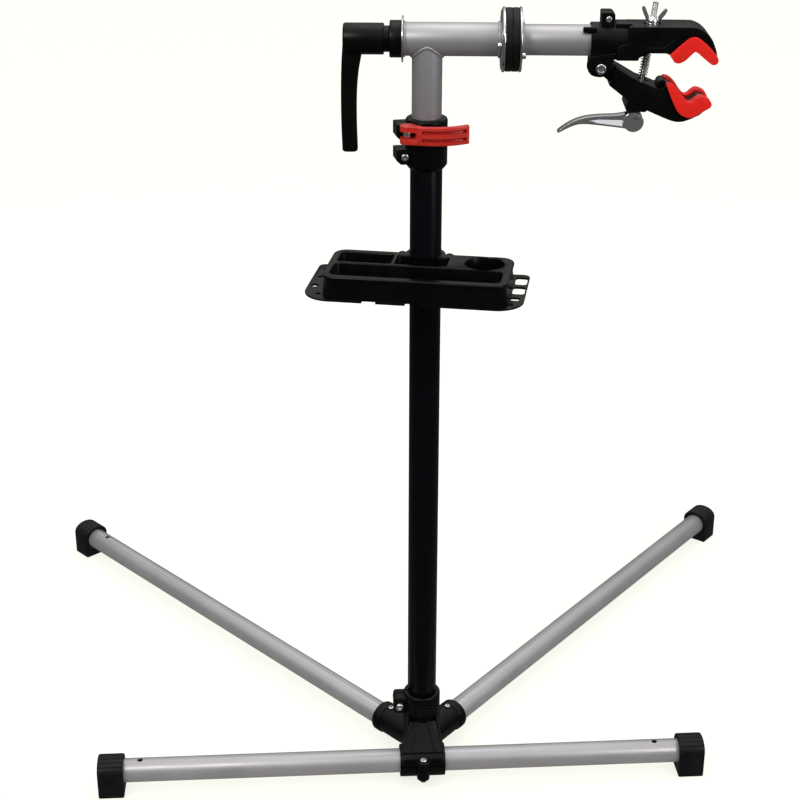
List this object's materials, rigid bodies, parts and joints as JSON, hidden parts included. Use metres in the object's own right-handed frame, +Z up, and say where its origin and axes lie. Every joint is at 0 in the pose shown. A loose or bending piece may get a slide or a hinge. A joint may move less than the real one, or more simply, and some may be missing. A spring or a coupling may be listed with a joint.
{
  "type": "bike repair stand",
  "caption": "Floor-standing bicycle work stand with a low wide base, a height-adjustable mast, a rotating padded clamp on a side arm and a tool tray.",
  "frame": {"origin": "middle of the footprint's bounding box, on the floor", "axes": "+Z up; +X along the front cross tube towards the clamp's side; +Y from the cross tube towards the rear legs"},
  "size_m": [1.0874, 0.7589, 1.0311],
  "materials": {
    "silver_tube": "satin silver powder coat",
    "black_tube": "satin black powder coat",
    "black_plastic": "satin moulded",
    "tray_plastic": "fine moulded texture",
    "foot_rubber": "ribbed",
    "red_plastic": "gloss moulded",
    "red_rubber": "smooth",
    "friction_liner": "matt",
    "zinc": "zinc plated",
    "chrome": "polished",
    "spring_steel": "drawn wire"
  },
  "bodies": {
    "base": {"base_hub": "black_plastic", "hub_clamp_bolt": "zinc", "hub_clamp_nut": "zinc", "cross_tube_bolt": "zinc", "cross_tube_nut": "zinc", "front_cross_tube": "silver_tube", "front_left_foot": "foot_rubber", "front_right_foot": "foot_rubber", "rear_left_leg_tube": "silver_tube", "rear_left_foot": "foot_rubber", "rear_left_leg_screw": "zinc", "rear_right_leg_tube": "silver_tube", "rear_right_foot": "foot_rubber", "rear_right_leg_screw": "zinc", "outer_post": "black_tube", "mast_collar": "black_plastic", "collar_screw": "zinc", "collar_nut": "zinc", "qr_skewer": "zinc", "qr_skewer_nut": "zinc", "qr_pivot_pin": "zinc"},
    "qr_lever": {"qr_lever": "red_plastic"},
    "tray": {"tool_tray": "tray_plastic", "tray_clamp": "tray_plastic", "tray_clamp_screw_left": "zinc", "tray_clamp_screw_right": "zinc"},
    "mast_bush": {"mast_glide_bush": "black_plastic"},
    "mast": {"mast_tube": "silver_tube", "tee_tube": "silver_tube", "tee_end_flange": "zinc", "tee_end_bush": "black_plastic", "tee_friction_flange": "zinc", "friction_disc_fixed": "friction_liner", "tee_flange_screw_1": "zinc", "tee_flange_screw_2": "zinc"},
    "handle": {"handle": "black_plastic", "through_rod": "zinc"},
    "arm": {"arm_tube": "silver_tube", "arm_anchor_plug": "zinc", "arm_friction_flange": "zinc", "friction_disc_turning": "friction_liner", "arm_flange_screw_1": "zinc", "arm_flange_screw_2": "zinc", "upper_jaw": "black_plastic", "upper_jaw_pad": "red_rubber", "upper_jaw_insert": "black_plastic", "head_clamp_screw": "zinc", "head_clamp_nut": "zinc", "jaw_pivot_bolt": "zinc"},
    "lower_jaw": {"lower_jaw": "black_plastic", "lower_jaw_pad": "red_rubber", "lower_jaw_insert": "black_plastic"},
    "draw_rod": {"draw_rod": "zinc", "draw_rod_washer": "zinc", "cam_pin": "zinc", "jaw_spring": "spring_steel"},
    "wing_nut": {"wing_nut": "chrome"},
    "cam_lever": {"cam_lever": "chrome"}
  },
  "joints": [
    {"name": "qr_lever_turn", "type": "hinge", "parent": "base", "child": "qr_lever", "pos_m": [-0.02955, -0.28161, 0.8838], "axis": [0, 0, -1], "range_deg": [0, 140]},
    {"name": "tray_slide", "type": "slide", "parent": "base", "child": "tray", "axis": [0, 0, 1], "range_m": [-0.45, 0.08]},
    {"name": "mast_slide", "type": "slide", "parent": "base", "child": "mast_bush", "axis": [0, 0, 1], "range_m": [0, 0.45]},
    {"name": "mast_swivel", "type": "hinge", "parent": "mast_bush", "child": "mast", "pos_m": [-0.00538, -0.256, 0.64], "axis": [0, 0, 1], "continuous": true},
    {"name": "handle_turn", "type": "hinge", "parent": "mast", "child": "handle", "pos_m": [-0.06515, -0.25077, 0.987], "axis": [0.9962, -0.0872, 0], "continuous": true},
    {"name": "arm_rotation", "type": "hinge", "parent": "mast", "child": "arm", "pos_m": [0.09424, -0.26472, 0.987], "axis": [0.9962, -0.0872, 0], "continuous": true},
    {"name": "cam_lever_turn", "type": "hinge", "parent": "draw_rod", "child": "cam_lever", "pos_m": [0.23401, -0.27694, 0.9], "axis": [-0.0872, -0.9962, 0], "range_deg": [0, 150]},
    {"name": "lower_jaw_turn", "type": "hinge", "parent": "arm", "child": "lower_jaw", "pos_m": [0.18977, -0.27307, 0.9595], "axis": [-0.0872, -0.9962, 0], "range_deg": [0, 8], "deforming": ["jaw_spring"]},
    {"name": "draw_rod_tilt", "type": "hinge", "parent": "arm", "child": "draw_rod", "pos_m": [0.24666, -0.27805, 1.0065], "axis": [-0.0872, -0.9962, 0], "range_deg": [0, 3.6]},
    {"name": "wing_nut_turn", "type": "hinge", "parent": "draw_rod", "child": "wing_nut", "pos_m": [0.24666, -0.27805, 1.0065], "axis": [0.118, -0.0103, 0.993], "continuous": true}
  ],
  "couplings": [
    {"joint": "lower_jaw_turn", "follows": "cam_lever_turn", "ratio": 0.053333},
    {"joint": "draw_rod_tilt", "follows": "cam_lever_turn", "ratio": 0.024}
  ]
}
